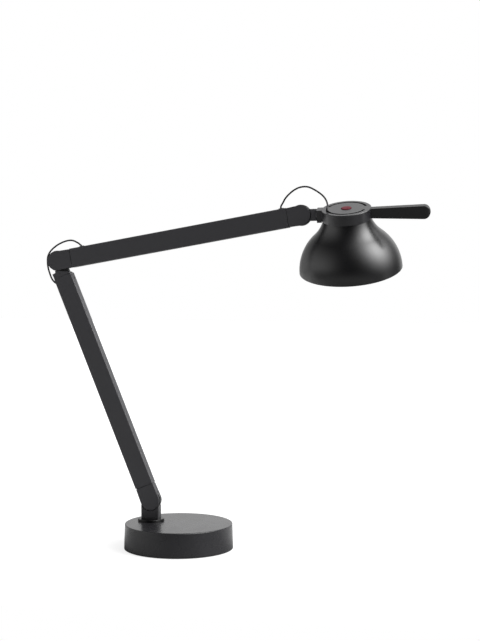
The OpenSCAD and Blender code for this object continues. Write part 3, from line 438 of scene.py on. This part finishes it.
button_red = coated("button_red", (0.13, 0.003, 0.014), 0.42, grain=3000.0, bump=0.05,
                    spread=0.06, wear=0.7, rub=0.05, dust=0.0, light_tone=1.8, specular=0.12,
                    edge_radius=0.0008)
let_light_in(button_red, 0.06, (0.002, 0.0004, 0.0005))
dress(button_red, "button")
chip_yellow = coated("chip_yellow", (0.85, 0.6, 0.12), 0.25, bump=0.02, wear=0.2, rub=0.0,
                     dust=0.0, light_tone=1.1)
dress(chip_yellow, "led_chips")
opal = coated("opal_dome", (0.86, 0.855, 0.83), 0.32, grain=1600.0, bump=0.03, wear=0.0,
              rub=0.05, dust=0.03, light_tone=1.05)
let_light_in(opal, 0.5, (0.004, 0.004, 0.0035))
dress(opal, "diffuser")

# %% [markdown]
# The leads have a thin black jacket, extruded smooth, with no worn edges and a faint ripple
# from the wires inside.

# %% The leads' jacket
jacket = coated("lead_jacket", (0.02, 0.02, 0.0215), 0.45, grain=1400.0, peel=700.0,
                bump=0.03, wear=0.0, rub=0.1, dust=0.05)
dress(jacket, "driver_lead", "post_lead", "lower_lead", "upper_lead", "elbow_lead",
      "head_lead")

# %% [markdown]
# ## The flexing leads
#
# Two leads leave the arms, loop round a joint in the open, and go back in. In the frame
# they are eight-sided and rigid. Here each is a smooth round tube on the same route, drawn
# at rest. The head's loop crosses two joints, so it is made in two lengths that meet at
# its top.

# %% A tube along a route
def smooth_route(points, steps=6):
    """More points on a curve through the given ones (Catmull-Rom)."""
    p = [np.array(q, float) for q in points]
    out = []
    for i in range(len(p) - 1):
        a, b, c, d = p[max(i - 1, 0)], p[i], p[i + 1], p[min(i + 2, len(p) - 1)]
        for k in range(steps):
            t = k / steps
            out.append(0.5 * (2 * b + (c - a) * t + (2 * a - 5 * b + 4 * c - d) * t * t
                              + (3 * b - a - 3 * c + d) * t ** 3))
    out.append(p[-1])
    return out


def tube(name, centreline, radius, material, sides=20):
    """A closed round tube along a centreline, with rings that don't twist."""
    work = bmesh.new()
    rings = []
    side = None
    for i, point in enumerate(centreline):
        ahead = centreline[min(i + 1, len(centreline) - 1)] - centreline[max(i - 1, 0)]
        along = Vector(ahead).normalized()
        if side is None:
            side = along.cross(Vector((0.0, 1.0, 0.0))).normalized()
        side = (side - along * side.dot(along)).normalized()
        other = along.cross(side)
        ring = []
        for k in range(sides):
            angle = 2 * math.pi * k / sides
            offset = side * (radius * math.cos(angle)) + other * (radius * math.sin(angle))
            ring.append(work.verts.new(Vector(point) + offset))
        rings.append(ring)
    for low, high in zip(rings, rings[1:]):
        for k in range(sides):
            face = work.faces.new((low[k], low[(k + 1) % sides], high[(k + 1) % sides], high[k]))
            face.smooth = True
    work.faces.new(list(reversed(rings[0])))
    work.faces.new(rings[-1])
    bmesh.ops.recalc_face_normals(work, faces=work.faces)
    mesh = bpy.data.meshes.new(name)
    work.to_mesh(mesh)
    work.free()
    made = bpy.data.objects.new(name, mesh)
    scene.collection.objects.link(made)
    made.data.materials.append(material)
    return made


def length_mm(line):
    """The length of a centreline, in whole millimetres."""
    return round(sum((b - a).length for a, b in zip(line, line[1:])) * 1000)


print("route and tube helpers are ready")

# %% [markdown]
# The routes follow the frame's own leads, in millimetres from each hinge, turned into
# metres. The hinges' places come from the joints. The first loop leaves the lower arm below
# the elbow, goes round behind it, and enters the grommet on top of the upper arm.

# %% The elbow's loop
LEAD_RADIUS = 0.0014
MM = 0.001
elbow = Vector(joints["elbow_hinge"]["pos_m"])
head_hinge = Vector(joints["head_tilt"]["pos_m"])
RISE = math.radians(10.1)
OUT = 17.2
ENTRY, LEAVE = 46.0, 30.6


def beside_arm(along, out):
    """A point beside the upper arm, in level axes, in millimetres."""
    x = along * math.cos(RISE) - out * math.sin(RISE)
    z = along * math.sin(RISE) + out * math.cos(RISE)
    return (x, 0.0, z)


elbow_points = [
    (-1, -39.2), (-5.2, -36.8), (-9, -33.4), (-12, -28.6), (-14.4, -22.6), (-16.6, -16),
    (-18.2, -9), (-18.8, -1), (-18.2, 6.6), (-15, 13.6), (-9.6, 19.8), (-2.4, 25.4),
    (4.4, 29.2), (11.2, 32), (18, 33.8), (24, 34.2), (29, 33.1), (33.4, 31), (37.2, 29),
]
elbow_route = [(x, 0.0, z) for x, z in elbow_points]
elbow_route += [beside_arm(ENTRY - 3.0, OUT + 2.9), beside_arm(ENTRY - 0.6, OUT + 0.6),
                beside_arm(ENTRY, OUT - 0.9)]
elbow_line = [elbow + Vector(q) * MM for q in smooth_route(elbow_route)]
elbow_loop = tube("elbow_loop", elbow_line, LEAD_RADIUS, jacket)
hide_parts("elbow_lead")
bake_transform(elbow_loop)
print("elbow loop:", length_mm(elbow_line), "mm")

# %% [markdown]
# The second loop leaves the other grommet, rises over the head's hinge, and goes down
# through the end of a slot in the ring. The slot's place comes from the ring's own axes.
# The loop is cut in two at its top, and the button's spring uses the same axes further on.

# %% The head's loop in two lengths
ring_axis = Vector(joints["head_roll"]["axis"])
ring_up = -Vector(joints["button_press"]["axis"])
ring_centre = Vector(joints["head_roll"]["pos_m"])
ring_side = ring_up.cross(ring_axis)
SLOT_RADIUS, SLOT_ANGLE, RING_TOP = 31.35, math.radians(-159.6), 9.4
slot_place = (ring_axis * math.cos(SLOT_ANGLE) + ring_side * math.sin(SLOT_ANGLE)) * SLOT_RADIUS
head_points = [
    (-29.6, 0, 21), (-26, 0, 27.4), (-20, 0, 34), (-12.8, 0, 39.8), (-5.4, 0, 43.8),
    (1.6, 0, 45.6), (8, -0.4, 45.8), (14.4, -1.2, 44.4), (21.4, -2.4, 41), (28.8, -4.2, 36.6),
    (35.8, -6.4, 31.4), (41, -8.8, 25.6), (44, -10.8, 19.6), (45, -12, 14),
]
head_route = [beside_arm(-LEAVE, OUT), beside_arm(-LEAVE, OUT + 1.4),
              beside_arm(-LEAVE + 1, OUT + 3.8)]
head_route += head_points
for height in (RING_TOP + 3.4, RING_TOP - 2, RING_TOP - 6, -1.9):
    point = (ring_centre - head_hinge) / MM + slot_place + ring_up * height
    head_route.append(tuple(point))
head_line = [head_hinge + Vector(q) * MM for q in smooth_route(head_route)]
MIDDLE = 9 * 6
arm_side = tube("head_loop_arm_side", head_line[: MIDDLE + 1], LEAD_RADIUS, jacket)
ring_part = tube("head_loop_ring_side", head_line[MIDDLE:], LEAD_RADIUS, jacket)
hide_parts("head_lead")
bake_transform(arm_side)
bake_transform(ring_part)
print("head loop:", length_mm(head_line), "mm")

# %% [markdown]
# The push button stands on a small coil spring, which shortens by a millimetre as the
# button goes down. Here it is drawn at rest.

# %% The button's spring
COIL_RADIUS, WIRE_RADIUS, TURNS = 8.4, 0.0004, 4
COIL_FOOT, COIL_TOP = -9.55, 3.7
RINGS_PER_TURN = 24
coil = []
for k in range(TURNS * RINGS_PER_TURN + 1):
    angle = 2 * math.pi * k / RINGS_PER_TURN
    height = COIL_FOOT + (COIL_TOP - COIL_FOOT) * k / (TURNS * RINGS_PER_TURN)
    outward = ring_axis * math.cos(angle) + ring_side * math.sin(angle)
    coil.append(ring_centre + (outward * COIL_RADIUS + ring_up * height) * MM)
spring = tube("button_coil", coil, WIRE_RADIUS, steel, sides=10)
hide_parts("button_spring")
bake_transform(spring)
print("spring:", TURNS, "turns")

# %% [markdown]
# ## Floor and light
#
# The lamp stands on a white table in a white room. The table is matt and catches the
# lamp's faint shadow. To the camera it also glows, least under the lamp, so it clears to
# white without more light on the lamp. It ends a short way in front: beyond it the studio
# is dark, which is what the middle of the shade mirrors.

# %% The table
FLOOR = (-6.0, 6.0, -0.42, 7.0)
work = bmesh.new()
left, right, front, back = FLOOR
corners = [(left, front), (right, front), (right, back), (left, back)]
work.faces.new([work.verts.new((x, y, 0.0)) for x, y in corners])
floor_mesh = bpy.data.meshes.new("table_top")
work.to_mesh(floor_mesh)
work.free()
floor = bpy.data.objects.new("table_top", floor_mesh)
scene.collection.objects.link(floor)

table_white = bpy.data.materials.new("table_white")
table_white.use_nodes = True
tree = table_white.node_tree
shader = tree.nodes["Principled BSDF"]
shader.inputs["Roughness"].default_value = 0.9
shader.inputs["Specular IOR Level"].default_value = 0.1
place = tree.nodes.new("ShaderNodeTexCoord").outputs["Object"]
paper = noise_node(tree, place, 40.0, detail=4.0)
white_paper = mix_colour(tree, paper, (0.32, 0.32, 0.32), (0.34, 0.34, 0.34))
rays = tree.nodes.new("ShaderNodeLightPath")
seen = rays.outputs["Is Camera Ray"]

# In mirrored and bounced light the table is grey, darkest to the right and paler behind
spot = tree.nodes.new("ShaderNodeSeparateXYZ")
tree.links.new(place, spot.inputs["Vector"])
across = math_node(tree, "MULTIPLY", spot.outputs["X"], 0.4)
across = math_node(tree, "ADD", across, 0.5, clamp=True)
grey = ramp_node(tree, across, [(0.1, 0.58), (0.3, 0.62), (0.5, 0.32), (0.8, 0.18)])
behind = ramp_node(tree, math_node(tree, "ADD", spot.outputs["Y"], 0.2, clamp=True),
                   [(0.22, 0.0), (0.32, 0.4), (0.7, 0.4), (0.95, 0.0)])
grey = math_node(tree, "ADD", grey, behind)
tree.links.new(mix_colour(tree, seen, grey, white_paper), shader.inputs["Base Color"])

# The glow for the camera grows with the distance from the lamp
reach = tree.nodes.new("ShaderNodeVectorMath")
reach.operation = "LENGTH"
tree.links.new(place, reach.inputs[0])
half_reach = math_node(tree, "MULTIPLY", reach.outputs["Value"], 0.5)
far = ramp_node(tree, half_reach, [(0.08, 0.8), (0.5, 1.0)])
glow = tree.nodes.new("ShaderNodeEmission")
tree.links.new(math_node(tree, "MULTIPLY", seen, far), glow.inputs["Strength"])
both = tree.nodes.new("ShaderNodeAddShader")
tree.links.new(shader.outputs["BSDF"], both.inputs[0])
tree.links.new(glow.outputs["Emission"], both.inputs[1])
tree.links.new(both.outputs["Shader"], tree.nodes["Material Output"].inputs["Surface"])
floor.data.materials.append(table_white)
print("table:", FLOOR)

# %% [markdown]
# The room is a world strength that depends on direction alone. It was worked out from what
# the shade mirrors: a pale wall behind, with two brighter panels, pale panels low on the
# left, one big soft box high on the right, and almost nothing in front. Each panel is a
# soft-edged lobe, so no highlight has a hard border. Below the horizon a dim band stands
# for the far floor. The camera itself always sees white.

# %% The room
world = bpy.data.worlds.new("room")
scene.world = world
world.use_nodes = True
tree = world.node_tree
tree.nodes.clear()
direction = tree.nodes.new("ShaderNodeTexCoord").outputs["Generated"]
split = tree.nodes.new("ShaderNodeSeparateXYZ")
tree.links.new(direction, split.inputs["Vector"])


def span(value, low, high, out_low, out_high):
    """A smooth Map Range from one span to another."""
    made = tree.nodes.new("ShaderNodeMapRange")
    made.interpolation_type = "SMOOTHSTEP"
    tree.links.new(value, made.inputs["Value"])
    labels = ("From Min", "From Max", "To Min", "To Max")
    for label, number in zip(labels, (low, high, out_low, out_high)):
        made.inputs[label].default_value = number
    return made.outputs["Result"]


def lobe(azimuth, elevation, width, radiance):
    """A round glow of light about a direction. The width is where it falls to 0.6, in degrees."""
    a, e = math.radians(azimuth), math.radians(elevation)
    near = tree.nodes.new("ShaderNodeVectorMath")
    near.operation = "DOT_PRODUCT"
    toward = (math.sin(a) * math.cos(e), -math.cos(a) * math.cos(e), math.sin(e))
    near.inputs[1].default_value = toward
    tree.links.new(direction, near.inputs[0])
    away = math_node(tree, "SUBTRACT", near.outputs["Value"], 1.0)
    steep = math_node(tree, "MULTIPLY", away, 1 / math.radians(width) ** 2)
    return math_node(tree, "MULTIPLY", math_node(tree, "EXPONENT", steep), radiance)


# Azimuth from the front towards the right, elevation and width in degrees, then strength
FRONT_LEVEL = 0.015
WALL_LEVEL = 0.8
SOFT_BOX = (84, 41, 17, 9.4)
BACK_PANELS = [(162, 24, 14, 0.45), (-163, 44, 16, 0.8)]
LEFT_PANELS = [(-125, 4, 17, 0.4), (-90, 6, 19, 0.68), (-52, 6, 19, 0.72)]
wall = span(split.outputs["Y"], 0.7, 1.0, 0.0, WALL_LEVEL)
level = math_node(tree, "MAXIMUM", wall, FRONT_LEVEL)
for numbers in (SOFT_BOX, *BACK_PANELS, *LEFT_PANELS):
    level = math_node(tree, "ADD", level, lobe(*numbers))
height = split.outputs["Z"]
level = math_node(tree, "MULTIPLY", level, span(height, -0.12, 0.0, 0.06, 1.0))
fades_up = span(height, -0.35, -0.1, 0.4, 0.0)
fades_down = span(height, -0.75, -0.4, 0.2, 1.0)
level = math_node(tree, "ADD", level, math_node(tree, "MULTIPLY", fades_up, fades_down))
rays = tree.nodes.new("ShaderNodeLightPath")
camera_ray = rays.outputs["Is Camera Ray"]
others = math_node(tree, "MULTIPLY", level, math_node(tree, "SUBTRACT", 1.0, camera_ray))
background = tree.nodes.new("ShaderNodeBackground")
background.inputs["Color"].default_value = (1.0, 1.0, 1.0, 1.0)
tree.links.new(math_node(tree, "ADD", others, camera_ray), background.inputs["Strength"])
output = tree.nodes.new("ShaderNodeOutputWorld")
tree.links.new(background.outputs["Background"], output.inputs["Surface"])
print("room:", len(tree.nodes), "nodes")
